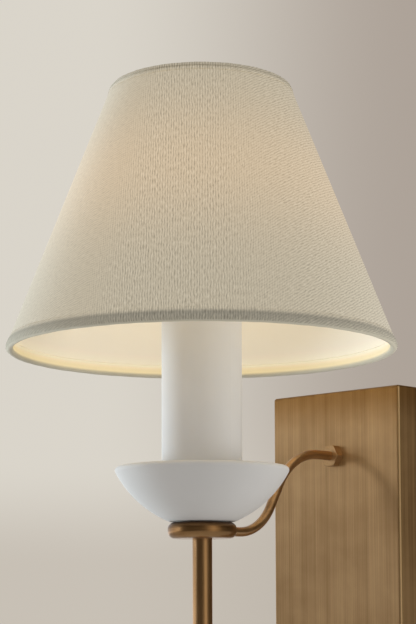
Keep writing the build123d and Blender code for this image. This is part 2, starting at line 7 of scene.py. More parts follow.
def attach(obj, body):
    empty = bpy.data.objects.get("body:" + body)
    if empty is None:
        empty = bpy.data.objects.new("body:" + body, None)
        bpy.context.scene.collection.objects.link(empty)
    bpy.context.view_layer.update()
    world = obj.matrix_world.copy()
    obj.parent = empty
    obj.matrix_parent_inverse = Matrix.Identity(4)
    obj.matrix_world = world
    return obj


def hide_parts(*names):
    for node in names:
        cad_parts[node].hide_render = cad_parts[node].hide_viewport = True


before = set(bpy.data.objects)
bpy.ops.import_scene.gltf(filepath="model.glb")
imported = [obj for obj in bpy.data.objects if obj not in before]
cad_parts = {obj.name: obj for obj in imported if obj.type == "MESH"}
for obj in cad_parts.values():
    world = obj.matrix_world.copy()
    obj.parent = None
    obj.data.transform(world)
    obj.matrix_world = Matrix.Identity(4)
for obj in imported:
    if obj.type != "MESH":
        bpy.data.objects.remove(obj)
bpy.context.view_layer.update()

# ------------------------------------------------------------------ the camera
# A long lens, a little below the shade's lower edge and to the light's right,
# looking slightly up with the frame shifted, so that the upright edges stay upright.
camera_bearing, camera_rise, camera_roll = map(math.radians, (134.42, 4.35, -0.21))
camera_sight = Vector(
    (
        math.cos(camera_bearing) * math.cos(camera_rise),
        math.sin(camera_bearing) * math.cos(camera_rise),
        math.sin(camera_rise),
    )
)
camera = bpy.data.objects.new("camera", bpy.data.cameras.new("camera"))
bpy.context.scene.collection.objects.link(camera)
camera.location = (0.7515, -0.9217, 0.0049)
camera.rotation_euler = (
    camera_sight.to_track_quat("-Z", "Y") @ Quaternion((0, 0, 1), camera_roll)
).to_euler()
camera.data.sensor_width = 36
camera.data.lens = 96.2
camera.data.shift_x = 0.0043
camera.data.shift_y = 0.262
camera.data.clip_end = 50
bpy.context.scene.camera = camera
bpy.context.scene.view_settings.view_transform = "Standard"

# --------------------------------------------------------------- the backplate
# A box drawn from brass sheet with rounded arrises, open to the wall. Its front is
# brushed up and down, then aged to a satin brown and waxed. Two set screws, one
# through each end, hold it on a strap.


def link(tree, node, sockets):
    """Sets a node's input sockets by name, to values or to links."""
    for name, value in sockets.items():
        if isinstance(value, bpy.types.NodeSocket):
            tree.links.new(value, node.inputs[name])
        else:
            node.inputs[name].default_value = value


def put(tree, kind, sockets=None, **settings):
    """Adds a node, with values or links for its input sockets by name."""
    node = tree.nodes.new(kind)
    for name, value in settings.items():
        setattr(node, name, value)
    link(tree, node, sockets or {})
    return node


def math_of(tree, operation, first, second=0.5):
    """The output of one Math node."""
    node = put(tree, "ShaderNodeMath", {0: first, 1: second}, operation=operation)
    return node.outputs[0]


def shared(tree, first, second, share):
    """A share of the second value and the rest of the first."""
    return math_of(
        tree,
        "ADD",
        math_of(tree, "MULTIPLY", first, 1.0 - share),
        math_of(tree, "MULTIPLY", second, share),
    )


def blend_of(tree, share, first, second):
    """The colour between two colours."""
    node = put(tree, "ShaderNodeMix", {0: share, 6: first, 7: second}, data_type="RGBA")
    return node.outputs[2]


def tinted(tree, tone, tint):
    """A colour times another."""
    node = put(
        tree,
        "ShaderNodeMix",
        {0: 1.0, 6: tone, 7: tint},
        data_type="RGBA",
        blend_type="MULTIPLY",
    )
    return node.outputs[2]


def ranged(tree, value, low, high, to_low=0.0, to_high=1.0):
    """A value carried smoothly from one range to another."""
    node = put(
        tree,
        "ShaderNodeMapRange",
        {"Value": value, "From Min": low, "From Max": high, "To Min": to_low, "To Max": to_high},
        interpolation_type="SMOOTHSTEP",
    )
    return node.outputs["Result"]


def noise_of(tree, where, scale=1.0, detail=2.0, roughness=0.5):
    """The value of a noise pattern."""
    node = put(
        tree,
        "ShaderNodeTexNoise",
        {"Vector": where, "Scale": scale, "Detail": detail, "Roughness": roughness},
    )
    return node.outputs[0]


def bump_of(tree, height, strength, depth):
    """The normal of a pattern's relief."""
    sockets = {"Strength": strength, "Distance": depth, "Height": height}
    return put(tree, "ShaderNodeBump", sockets).outputs[0]


def parts_of(tree, where):
    """The X, Y and Z of a place."""
    return put(tree, "ShaderNodeSeparateXYZ", {"Vector": where}).outputs


def placed(tree, scale=(1, 1, 1), centre=(0, 0, 0)):
    """Object coordinates about a centre, stretched."""
    where = put(tree, "ShaderNodeTexCoord").outputs["Object"]
    shifted = put(tree, "ShaderNodeVectorMath", {0: where, 1: centre}, operation="SUBTRACT")
    mapped = put(tree, "ShaderNodeMapping", {"Vector": shifted.outputs[0], "Scale": scale})
    return mapped.outputs[0]


def effect(name, inputs, outputs):
    """A new node group with named sockets, and its input and output nodes."""
    group = bpy.data.node_groups.new(name, "ShaderNodeTree")
    for socket, kind, value in inputs:
        made = group.interface.new_socket(socket, in_out="INPUT", socket_type=kind)
        if value is not None:
            made.default_value = value
    for socket, kind in outputs:
        group.interface.new_socket(socket, in_out="OUTPUT", socket_type=kind)
    return group, put(group, "NodeGroupInput"), put(group, "NodeGroupOutput")


def use(tree, group, sockets):
    """Places a node group in a material, and returns its outputs."""
    return put(tree, "ShaderNodeGroup", sockets, node_tree=group).outputs


def finish_of(name):
    """A new material with a Principled shader, and its tree and shader."""
    material = bpy.data.materials.new(name)
    material.use_nodes = True
    tree = material.node_tree
    tree.nodes.clear()
    shader = put(tree, "ShaderNodeBsdfPrincipled")
    put(tree, "ShaderNodeOutputMaterial", {"Surface": shader.outputs[0]})
    return material, tree, shader


def wear(tree, shader, look, others):
    """Gives the shader an effect's colour, roughness and normal, and other sockets."""
    link(
        tree,
        shader,
        {
            "Base Color": look["Color"],
            "Roughness": look["Roughness"],
            "Normal": look["Normal"],
            **others,
        },
    )


def tone_of(material):
    """A finish's tree, its shader and the colour that the shader gets."""
    tree = material.node_tree
    shader = next(node for node in tree.nodes if node.type == "BSDF_PRINCIPLED")
    return tree, shader, shader.inputs["Base Color"].links[0].from_socket


def paint(node_names, material):
    """Gives CAD nodes their finish."""
    for name in node_names:
        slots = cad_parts[name].data.materials
        slots.clear()
        slots.append(material)


# Brushed and aged metal: fine streaks along the brushing over slow clouds of patina.
surface_sockets = [
    ("Color", "NodeSocketColor"),
    ("Roughness", "NodeSocketFloat"),
    ("Normal", "NodeSocketVector"),
]
brushed, given, made = effect(
    "brushed and aged",
    [
        ("Streaks", "NodeSocketVector", None),
        ("Clouds", "NodeSocketVector", None),
        ("Worn", "NodeSocketColor", (0.5, 0.35, 0.2, 1)),
        ("Aged", "NodeSocketColor", (0.2, 0.12, 0.05, 1)),
        ("Smooth", "NodeSocketFloat", 0.25),
        ("Rough", "NodeSocketFloat", 0.4),
        ("Groove", "NodeSocketFloat", 0.2),
    ],
    surface_sockets,
)
streaks, clouds = given.outputs["Streaks"], given.outputs["Clouds"]
fine = noise_of(brushed, streaks, detail=7.0, roughness=0.62)
broad = noise_of(brushed, streaks, scale=0.11, detail=3.0)
cloud = noise_of(brushed, clouds, detail=4.0, roughness=0.55)
streak = shared(brushed, fine, broad, 0.45)
worn = ranged(brushed, shared(brushed, streak, cloud, 0.3), 0.36, 0.64)
satin = put(
    brushed,
    "ShaderNodeMapRange",
    {
        "Value": streak,
        "From Min": 0.3,
        "From Max": 0.7,
        "To Min": given.outputs["Smooth"],
        "To Max": given.outputs["Rough"],
    },
)
groove_depth = 0.00025
link(
    brushed,
    made,
    {
        "Color": blend_of(brushed, worn, given.outputs["Aged"], given.outputs["Worn"]),
        "Roughness": satin.outputs["Result"],
        "Normal": bump_of(brushed, fine, given.outputs["Groove"], groove_depth),
    },
)

brass_worn = (0.56, 0.355, 0.19, 1)
brass_aged = (0.40, 0.24, 0.115, 1)


def aged_brass(
    name,
    streaks,
    centre=(0, 0, 0),
    clouds=22.0,
    worn=brass_worn,
    aged=brass_aged,
    smooth=0.24,
    rough=0.36,
    groove=0.22,
    drawn=0.5,
):
    """Aged brass brushed along the way in which the streaks are long."""
    material, tree, shader = finish_of(name)
    grain = use(
        tree,
        brushed,
        {
            "Streaks": placed(tree, streaks, centre),
            "Clouds": placed(tree, (clouds, clouds, clouds), centre),
            "Worn": worn,
            "Aged": aged,
            "Smooth": smooth,
            "Rough": rough,
            "Groove": groove,
        },
    )
    wear(tree, shader, grain, {"Metallic": 1.0, "Anisotropic": drawn})
    return material


plate_brass = aged_brass(
    "backplate brass",
    (1500, 1500, 7),
    worn=(0.60, 0.41, 0.22, 1),
    aged=(0.38, 0.24, 0.115, 1),
    smooth=0.46,
    rough=0.54,
    groove=0.3,
    drawn=0.7,
)
plate_width, plate_height, plate_depth = 0.1143, 0.3048, 0.0254
tree, shader, brass_tone = tone_of(plate_brass)
across, out, up = parts_of(tree, placed(tree))
end, side, front = plate_height / 2, plate_width / 2, -plate_depth
end_shade_tint, arris_highlight = (0.72, 0.62, 0.45, 1), (0.95, 0.72, 0.42, 1)
# Painted shade: the plate is tinted darker towards both its ends.
at_ends = ranged(tree, math_of(tree, "ABSOLUTE", up), end - 0.0304, end - 0.0004)
# Painted highlight: a light line along the arrises between the front and the sides.
at_sides = ranged(
    tree, math_of(tree, "ABSOLUTE", across), side - 0.00105, side - 0.00025, 0.0, 0.85
)
at_front = ranged(tree, out, front + 0.0019, front + 0.0009)
at_arris = math_of(tree, "MULTIPLY", at_sides, at_front)
shaded_ends = blend_of(tree, at_ends, brass_tone, tinted(tree, brass_tone, end_shade_tint))
link(tree, shader, {"Base Color": blend_of(tree, at_arris, shaded_ends, arris_highlight)})
paint(["backplate"], plate_brass)


def plain_steel(name, tone, rough=0.38):
    """Plated steel with a faint drawn grain."""
    material, tree, shader = finish_of(name)
    grain = use(
        tree,
        brushed,
        {
            "Streaks": placed(tree, (60, 900, 900)),
            "Clouds": placed(tree, (60, 60, 60)),
            "Worn": (*[channel * 1.12 for channel in tone], 1),
            "Aged": (*[channel * 0.82 for channel in tone], 1),
            "Smooth": rough - 0.08,
            "Rough": rough + 0.08,
            "Groove": 0.08,
        },
    )
    wear(tree, shader, grain, {"Metallic": 1.0})
    return material


zinc = plain_steel("zinc plated steel", (0.56, 0.57, 0.58))
paint(["plate_set_screws"], plain_steel("blackened steel", (0.20, 0.19, 0.18)))
paint(["wall_strap", "arm_inner_washer", "arm_inner_nut"], zinc)
paint(["ground_screw"], plain_steel("green earth screw", (0.10, 0.33, 0.13)))

# --------------------------------------------------------------------- the arm
# A slim brass tube bent cold to an S. Its upper end is brazed in a threaded ferrule
# that goes through the backplate between two hexagonal nuts.
paint(["arm_tube"], aged_brass("arm brass", (520, 90, 520), clouds=60.0, smooth=0.26, rough=0.38))
nut_brass = aged_brass(
    "nut brass",
    (2600, 900, 2600),
    clouds=90.0,
    worn=(0.50, 0.33, 0.17, 1),
    aged=(0.40, 0.25, 0.12, 1),
    smooth=0.42,
    rough=0.48,
    groove=0.05,
)
paint(["arm_ferrule", "arm_lock_nut"], nut_brass)

# --------------------------------------------------------------------- the hub
# A turned brass disc with a bullnosed edge, lacquered over its turning marks. The
# arm is brazed into its side, with a thin bright bead of braze round the joint.
axis_y = -0.1578
hub_height = 0.051
hub_reach = 0.0219
arm_radius = 0.003175


def from_axis(tree, parts):
    """How far a place is from the light's upright axis."""
    flat = put(
        tree,
        "ShaderNodeCombineXYZ",
        {"X": parts[0], "Y": math_of(tree, "SUBTRACT", parts[1], axis_y)},
    )
    length = put(tree, "ShaderNodeVectorMath", {0: flat.outputs[0]}, operation="LENGTH")
    return length.outputs["Value"]


def spun_brass(name):
    """Brass polished on a lathe, with rings round the light's axis."""
    rings_per_metre = 2400.0
    material, tree, shader = finish_of(name)
    parts = parts_of(tree, placed(tree))
    outwards = math_of(tree, "SUBTRACT", parts[1], axis_y)
    rings = put(
        tree,
        "ShaderNodeCombineXYZ",
        {
            "X": math_of(tree, "MULTIPLY", from_axis(tree, parts), rings_per_metre),
            "Y": math_of(tree, "MULTIPLY", parts[2], rings_per_metre),
            "Z": math_of(tree, "MULTIPLY", math_of(tree, "ARCTAN2", outwards, parts[0]), 1.6),
        },
    )
    grain = use(
        tree,
        brushed,
        {
            "Streaks": rings.outputs[0],
            "Clouds": placed(tree, (90, 90, 90), (0, axis_y, 0)),
            "Worn": brass_worn,
            "Aged": brass_aged,
            "Smooth": 0.26,
            "Rough": 0.38,
            "Groove": 0.14,
        },
    )
    wear(tree, shader, grain, {"Metallic": 1.0, "Coat Weight": 0.15, "Coat Roughness": 0.22})
    return material


disc_brass = spun_brass("spun brass")
tree, shader, brass_tone = tone_of(disc_brass)
height = parts_of(tree, placed(tree))[2]
# Painted shade: the disc is tinted darker towards its top, under the dish.
under_dish = ranged(tree, height, hub_height + 0.0002, hub_height + 0.0042)
under_dish_shade = blend_of(tree, under_dish, (0.66, 0.60, 0.48, 1), (0.36, 0.31, 0.24, 1))
link(tree, shader, {"Base Color": tinted(tree, brass_tone, under_dish_shade)})
paint(["hub_disc"], disc_brass)


def clear_selection():
    """Leaves nothing selected, so that operators act on the new piece alone."""
    if bpy.context.object and bpy.context.object.mode != "OBJECT":
        bpy.ops.object.mode_set(mode="OBJECT")
    bpy.ops.object.select_all(action="DESELECT")


def at_rest(piece, name):
    """Names a finished piece and leaves its place in its mesh."""
    piece.name = name
    piece.data.name = name
    clear_selection()
    piece.select_set(True)
    bpy.context.view_layer.objects.active = piece
    bpy.ops.object.transform_apply(location=True, rotation=True, scale=True)
    clear_selection()
    return piece


def dress(piece, name, body, material):
    """Finishes a piece: its place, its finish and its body."""
    at_rest(piece, name)
    piece.data.materials.clear()
    piece.data.materials.append(material)
    for face in piece.data.polygons:
        face.use_smooth = True
    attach(piece, body)
    return piece


bead_radius = 0.00055
clear_selection()
bpy.ops.mesh.primitive_torus_add(
    major_segments=64,
    minor_segments=14,
    major_radius=arm_radius + bead_radius * 0.5,
    minor_radius=bead_radius,
    location=(0, axis_y + hub_reach, hub_height),
    rotation=(math.radians(90), 0, 0),
)
bead = at_rest(bpy.context.object, "hub_braze_bead")
hub_flat = 0.0007
hub_round = 0.0046
hub_radius = 0.02225
for vertex in bead.data.vertices:
    lift = max(0.0, abs(vertex.co.z - hub_height) - hub_flat)
    edge = hub_radius - hub_round + math.sqrt(max(0.0, hub_round**2 - lift**2))
    reach = math.sqrt(max(0.0, edge**2 - vertex.co.x**2))
    vertex.co.y += reach - hub_reach
braze = aged_brass(
    "braze",
    (900, 900, 900),
    worn=(0.8, 0.6, 0.36, 1),
    aged=(0.6, 0.42, 0.22, 1),
    smooth=0.2,
    rough=0.28,
    groove=0.3,
)
dress(bead, "hub_braze_bead", "fixture", braze)

# -------------------------------------------------------------------- the stem
# A brass tube screwed on the lower end of the lamp pipe and closed by a turned
# ball. The tube was polished along its length before it was aged.
stem_brass = aged_brass(
    "stem brass",
    (1500, 1500, 22),
    (0, axis_y, 0),
    clouds=40.0,
    worn=(0.52, 0.33, 0.17, 1),
    aged=(0.36, 0.215, 0.10, 1),
    smooth=0.24,
    rough=0.34,
    groove=0.12,
)
paint(["stem_tube"], stem_brass)
paint(["stem_finial"], spun_brass("finial brass"))
paint(["lamp_pipe"], zinc)

# -------------------------------------------------------------------- the bowl
# A white dish, slip cast with an even wall and fired with a smooth matte glaze. It
# stands on a soft washer, and a nut on the lamp pipe clamps it to the hub.

# Matte white coats: a slow unevenness of tone and a very fine grain.
matte_coat, given, made = effect(
    "matte coat",
    [
        ("Place", "NodeSocketVector", None),
        ("Tone", "NodeSocketColor", (0.8, 0.8, 0.8, 1)),
        ("Shade", "NodeSocketColor", (0.7, 0.7, 0.7, 1)),
        ("Cloud size", "NodeSocketFloat", 18.0),
        ("Grain size", "NodeSocketFloat", 1400.0),
        ("Grain", "NodeSocketFloat", 0.05),
        ("Rough", "NodeSocketFloat", 0.6),
    ],
    surface_sockets,
)
place = given.outputs["Place"]
cloud = noise_of(matte_coat, place, given.outputs["Cloud size"], detail=3.0)
grain = noise_of(matte_coat, place, given.outputs["Grain size"])
evenness = ranged(matte_coat, cloud, 0.35, 0.65)
spread = math_of(matte_coat, "MULTIPLY", grain, 0.08)
link(
    matte_coat,
    made,
    {
        "Color": blend_of(matte_coat, evenness, given.outputs["Shade"], given.outputs["Tone"]),
        "Roughness": math_of(matte_coat, "ADD", given.outputs["Rough"], spread),
        "Normal": bump_of(matte_coat, grain, given.outputs["Grain"], 0.0002),
    },
)


def matte_white(name, tone, shade, rough=0.55, clouds=18.0, grains=1400.0):
    """A matte glaze or paint."""
    material, tree, shader = finish_of(name)
    coat = use(
        tree,
        matte_coat,
        {
            "Place": placed(tree, centre=(0, axis_y, 0)),
            "Tone": (*tone, 1),
            "Shade": (*shade, 1),
            "Cloud size": clouds,
            "Grain size": grains,
            "Grain": 0.06,
            "Rough": rough,
        },
    )
    wear(tree, shader, coat, {"Specular IOR Level": 0.35})
    return material


paint(["bowl"], matte_white("matte glaze", (0.69, 0.675, 0.645), (0.665, 0.65, 0.62), rough=0.5))
paint(["tube_locator", "bowl_lock_nut"], zinc)
pale_vinyl = matte_white("pale vinyl", (0.62, 0.61, 0.57), (0.56, 0.55, 0.51), rough=0.45)
paint(["bowl_washer"], pale_vinyl)

# ------------------------------------------------------- the candle tube, its cap
# A thin metal sleeve and its cap, sprayed matte white. The sleeve stands on the
# dish's floor, and the socket's shoulder holds the cap on its mouth.
tube_paint = matte_white(
    "tube paint", (0.72, 0.71, 0.69), (0.695, 0.685, 0.665), rough=0.48, grains=2200.0
)
paint(["candle_tube", "tube_cap", "shade_ring"], tube_paint)

# ------------------------------------------------------------------- the socket
# A porcelain socket on the lamp pipe, with a brass screw shell, a sprung contact
# and two terminal screws.
porcelain = matte_white("porcelain", (0.82, 0.81, 0.78), (0.77, 0.76, 0.73), rough=0.25)
paint(["socket_cap", "socket_body"], porcelain)
bare = aged_brass(
    "bare brass",
    (300, 300, 1800),
    (0, axis_y, 0),
    clouds=150.0,
    worn=(0.86, 0.66, 0.34, 1),
    aged=(0.66, 0.47, 0.21, 1),
)
paint(["socket_screw_shell", "socket_contact", "socket_terminal_screws"], bare)

# --------------------------------------------------------------------- the bulb
# A slim tubular bulb of frosted glass with a screw cap of brass, lit. Inside it
# four coated rods stand on a clear glass mount.
bulb_warm = (1.0, 0.74, 0.42, 1)
bulb_power = 3.0
frosted, tree, shader = finish_of("frosted glass, lit")
coat = use(
    tree,
    matte_coat,
    {
        "Place": placed(tree, centre=(0, axis_y, 0)),
        "Tone": (0.95, 0.92, 0.86, 1),
        "Shade": (0.88, 0.85, 0.78, 1),
        "Cloud size": 90.0,
        "Grain size": 4000.0,
        "Grain": 0.1,
        "Rough": 0.35,
    },
)
wear(tree, shader, coat, {"Emission Color": bulb_warm, "Emission Strength": bulb_power})
paint(["bulb_glass"], frosted)


def smooth_coat(name, tone, shade, rough, others):
    """A coat with the same uneven tone, but no grain to feel."""
    material, tree, shader = finish_of(name)
    sockets = {"Place": placed(tree), "Tone": (*tone, 1), "Shade": (*shade, 1), "Rough": rough}
    coat = use(tree, matte_coat, sockets)
    link(tree, shader, {"Base Color": coat["Color"], "Roughness": coat["Roughness"], **others})
    return material


clear_glass = smooth_coat(
    "clear glass", (0.95, 0.97, 0.97), (0.9, 0.93, 0.93), 0.03, {"Transmission Weight": 1.0}
)
phosphor = smooth_coat(
    "coated rods",
    (0.95, 0.75, 0.35),
    (0.85, 0.62, 0.25),
    0.5,
    {"Emission Color": (1.0, 0.66, 0.28, 1), "Emission Strength": bulb_power},
)
vitrite = smooth_coat("black glass", (0.03, 0.03, 0.03), (0.02, 0.02, 0.02), 0.1, {})
paint(["bulb_mount"], clear_glass)
paint(["bulb_filaments"], phosphor)
paint(["bulb_insulator"], vitrite)
paint(["bulb_cap"], bare)
paint(["bulb_contact"], zinc)

# ------------------------------------------------------------- the shade's frame
# A flat steel ring with three bent spokes, welded to the wire ring of the top
# edge, and a second wire ring in the bottom edge. All of it is coated white.
wire_coat = matte_white(
    "wire coating", (0.78, 0.76, 0.71), (0.72, 0.70, 0.65), rough=0.35, clouds=60.0
)
paint(["fitter_ring", "fitter_spokes", "top_ring_wire", "bottom_ring_wire"], wire_coat)

# ------------------------------------------------------------ the shade's lining
# A cream liner laminated to the back of the cloth. It throws the bulb's light down;
# that light is painted on it as a glow, brightest near the lower edge.
edge_radius_low, edge_height_low = 0.1266, 0.166772
edge_radius_high, edge_height_high = 0.0586, 0.340372
slope = math.atan2(edge_radius_low - edge_radius_high, edge_height_high - edge_height_low)
slant = (edge_height_high - edge_height_low) / math.cos(slope)
cloth_thick = 0.001
liner_thick = 0.0007
skin_low = 0.0041
skin_high = slant - 0.0037
apex = edge_radius_low / math.sin(slope)


def on_slant(along, out):
    """Radius and height of a point: up the slant from the lower edge, and out of it."""
    return (
        edge_radius_low - along * math.sin(slope) + out * math.cos(slope),
        edge_height_low + along * math.cos(slope) + out * math.sin(slope),
    )


# Where a point lies on the shade: how much of the bulb's light reaches it, how little
# a hem doubles the cloth there, whether it is in the bottom hem's crease or on the
# inside, and how far up the slant it is. The top hem lets half of the light through.
hem_height_low, hem_height_high = 0.007, 0.005
glow_height = 0.272
glow_reach = 0.047
on_shade, given, made = effect(
    "place on the shade",
    [("Place", "NodeSocketVector", None)],
    [
        ("Glow", "NodeSocketFloat"),
        ("Single", "NodeSocketFloat"),
        ("Crease", "NodeSocketFloat"),
        ("Inside", "NodeSocketFloat"),
        ("Along", "NodeSocketFloat"),
    ],
)


def bell(tree, value, middle, width):
    """A smooth bump from 0 to 1 about a middle value."""
    away = math_of(tree, "DIVIDE", math_of(tree, "SUBTRACT", value, middle), width)
    fall = math_of(tree, "MULTIPLY", math_of(tree, "MULTIPLY", away, away), -1.0)
    return math_of(tree, "POWER", math.e, fall)


parts = parts_of(on_shade, given.outputs["Place"])
rise = math_of(on_shade, "SUBTRACT", parts[2], edge_height_low)
along = math_of(on_shade, "DIVIDE", rise, math.cos(slope))
taper = math_of(on_shade, "MULTIPLY", rise, math.tan(slope))
cone = math_of(on_shade, "SUBTRACT", edge_radius_low, taper)
outside_cone = math_of(on_shade, "SUBTRACT", from_axis(on_shade, parts), cone)
above_low = ranged(on_shade, along, hem_height_low - 0.0026, hem_height_low + 0.0014)
hem_start_high = slant - hem_height_high
below_high = ranged(on_shade, along, hem_start_high + 0.0022, hem_start_high - 0.0018, 0.5)
link(
    on_shade,
    made,
    {
        "Glow": bell(on_shade, parts[2], glow_height, glow_reach),
        "Single": math_of(on_shade, "MULTIPLY", above_low, below_high),
        "Crease": bell(on_shade, along, hem_height_low - 0.0016, 0.0016),
        "Inside": ranged(on_shade, outside_cone, -0.0006, -0.0014),
        "Along": along,
    },
)

# Woven cloth on its flat cut: short wavering ribs that stand upright in the middle of
# the view, lean over towards the right and lie across at the left.
rib_width = 0.0016
rib_swing = 0.22
slubs_per_metre = (1500, 300, 1)
wavers_per_metre = (240, 150, 1)
waver_shift = 1.2
woven, given, made = effect(
    "woven cloth",
    [
        ("Flat", "NodeSocketVector", None),
        ("Rib", "NodeSocketFloat", rib_width),
        ("Depth", "NodeSocketFloat", 0.5),
    ],
    [("Light", "NodeSocketFloat"), ("Normal", "NodeSocketVector")],
)
flat = given.outputs["Flat"]


def drawn_out(tree, where, scale):
    """A place, stretched across and along the ribs."""
    return put(tree, "ShaderNodeMapping", {"Vector": where, "Scale": scale}).outputs[0]


def turned_flat(tree, where, degrees):
    """A place on the flat cut, turned in its plane."""
    turn = (0, 0, math.radians(degrees))
    return put(tree, "ShaderNodeMapping", {"Vector": where, "Rotation": turn}).outputs[0]


def ribs(tree, lean, irregular):
    """Ribs at a lean from upright, from 0 to 1, made uneven by slubs."""
    turned = turned_flat(tree, flat, lean)
    slub = noise_of(tree, drawn_out(tree, turned, slubs_per_metre), roughness=0.6)
    waver = noise_of(tree, drawn_out(tree, turned, wavers_per_metre))
    count = math_of(tree, "DIVIDE", parts_of(tree, turned)[0], given.outputs["Rib"])
    phase = math_of(tree, "ADD", count, math_of(tree, "MULTIPLY", waver, waver_shift))
    turn = math_of(tree, "SINE", math_of(tree, "MULTIPLY", phase, math.tau), 0.0)
    wave = math_of(tree, "ADD", math_of(tree, "MULTIPLY", turn, rib_swing), 0.5)
    return shared(tree, wave, slub, irregular)


def calmed(tree, value, share):
    """A pattern drawn in towards its middle."""
    middle = (1.0 - share) / 2
    return math_of(tree, "ADD", math_of(tree, "MULTIPLY", value, share), middle)


parts = parts_of(woven, flat)
bearing = math_of(woven, "DIVIDE", parts[0], math_of(woven, "MULTIPLY", parts[1], -1.0))
upright = ribs(woven, 0, 0.62)
leaning = calmed(woven, ribs(woven, 48, 0.6), 0.8)
lying = calmed(woven, ribs(woven, 84, 0.6), 0.5)
rightward = ranged(woven, bearing, 0.02, 0.24)
leftward = ranged(woven, bearing, -0.13, -0.26)
to_right = {0: rightward, 2: upright, 3: leaning}
cloth = put(woven, "ShaderNodeMix", to_right, data_type="FLOAT").outputs[0]
to_left = {0: leftward, 2: cloth, 3: lying}
cloth = put(woven, "ShaderNodeMix", to_left, data_type="FLOAT").outputs[0]
contrast = {"Value": cloth, "From Min": 0.3, "From Max": 0.7, "To Min": 0.0, "To Max": 1.0}
thread_depth = 0.0003
link(
    woven,
    made,
    {
        "Light": put(woven, "ShaderNodeMapRange", contrast).outputs["Result"],
        "Normal": bump_of(woven, cloth, given.outputs["Depth"], thread_depth),
    },
)


def flat_cut(piece):
    """Gives a piece of the cone the UV map of its flat cut, in metres, split at the wall side."""
    layer = piece.data.uv_layers.new(name="flat_cut")
    for face in piece.data.polygons:
        turns = []
        for corner in face.loop_indices:
            place = piece.data.vertices[piece.data.loops[corner].vertex_index].co
            turns.append(math.atan2(place.x, -(place.y - axis_y)))
        for corner, turn in zip(face.loop_indices, turns):
            if max(turns) - min(turns) > math.pi and turn < 0:
                turn += math.tau
            place = piece.data.vertices[piece.data.loops[corner].vertex_index].co
            distance = apex - (place.z - edge_height_low) / math.cos(slope)
            spread = turn * math.sin(slope)
            layer.data[corner].uv = (distance * math.sin(spread), -distance * math.cos(spread))


def on_cut(tree):
    """The flat cut's coordinates, turned so that the warp runs up the middle of the view."""
    return turned_flat(tree, put(tree, "ShaderNodeUVMap", uv_map="flat_cut").outputs[0], -16.0)


around = 360
rows = 40


def cone_skin(name, outside, thick):
    """One layer of the shade: a cone of even thickness between its two edges."""
    low_r, low_z = on_slant(skin_low, outside)
    high_r, high_z = on_slant(skin_high, outside)
    clear_selection()
    bpy.ops.mesh.primitive_cone_add(
        vertices=around,
        radius1=low_r,
        radius2=high_r,
        depth=high_z - low_z,
        end_fill_type="NOTHING",
        location=(0, axis_y, (low_z + high_z) / 2),
    )
    skin = at_rest(bpy.context.object, name)
    bpy.context.view_layer.objects.active = skin
    skin.select_set(True)
    bpy.ops.object.mode_set(mode="EDIT")
    for row in range(1, rows):
        level = low_z + (high_z - low_z) * row / rows
        bpy.ops.mesh.select_all(action="SELECT")
        bpy.ops.mesh.bisect(plane_co=(0, 0, level), plane_no=(0, 0, 1))
    bpy.ops.mesh.select_all(action="SELECT")
    bpy.ops.mesh.normals_make_consistent(inside=False)
    bpy.ops.object.mode_set(mode="OBJECT")
    flat_cut(skin)
    wall = skin.modifiers.new("wall", "SOLIDIFY")
    wall.thickness = thick
    wall.offset = -1
    wall.use_even_offset = True
    bpy.context.view_layer.objects.active = skin
    bpy.ops.object.modifier_apply(modifier=wall.name)
    return skin


liner_light, liner_dark = (0.79, 0.765, 0.70, 1), (0.77, 0.745, 0.68, 1)
# Painted glow: the bulb's light on the liner, stronger low down.
liner_lit, liner_lit_low = (0.21, 0.17, 0.105, 1), (0.30, 0.24, 0.135, 1)
liner_finish, tree, shader = finish_of("cream liner, lit")
weave = use(tree, woven, {"Flat": on_cut(tree), "Rib": 0.0011, "Depth": 0.03})
where = use(tree, on_shade, {"Place": placed(tree)})
low_down = ranged(tree, where["Along"], 0.016, hem_height_low)
link(
    tree,
    shader,
    {
        "Base Color": blend_of(tree, weave["Light"], liner_dark, liner_light),
        "Roughness": 0.7,
        "Normal": weave["Normal"],
        "Specular IOR Level": 0.2,
        "Emission Color": blend_of(tree, low_down, liner_lit, liner_lit_low),
        "Emission Strength": 1.0,
    },
)
lining = cone_skin("shade_lining", -cloth_thick, liner_thick)
dress(lining, "shade_lining", "shade", liner_finish)
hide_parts("shade_liner")

# -------------------------------------------------------------- the shade's cloth
# An off-white twill linen, cut flat as part of a ring, laminated to the liner and
# lapped on the side towards the wall. The bulb's light through it is painted on as a glow.
linen_light = (0.73, 0.708, 0.622, 1)
linen_dark = (0.31, 0.298, 0.256, 1)
through_near, through_far = (0.325, 0.215, 0.098, 1), (0.195, 0.152, 0.082, 1)
hem_shade_tint = (0.95, 0.91, 0.82, 1)
roll_shade_cream, hem_lit = (0.62, 0.58, 0.46, 1), (0.33, 0.26, 0.12, 1)
sheen_tint = (1.0, 0.98, 0.94, 1)
black = (0, 0, 0, 1)


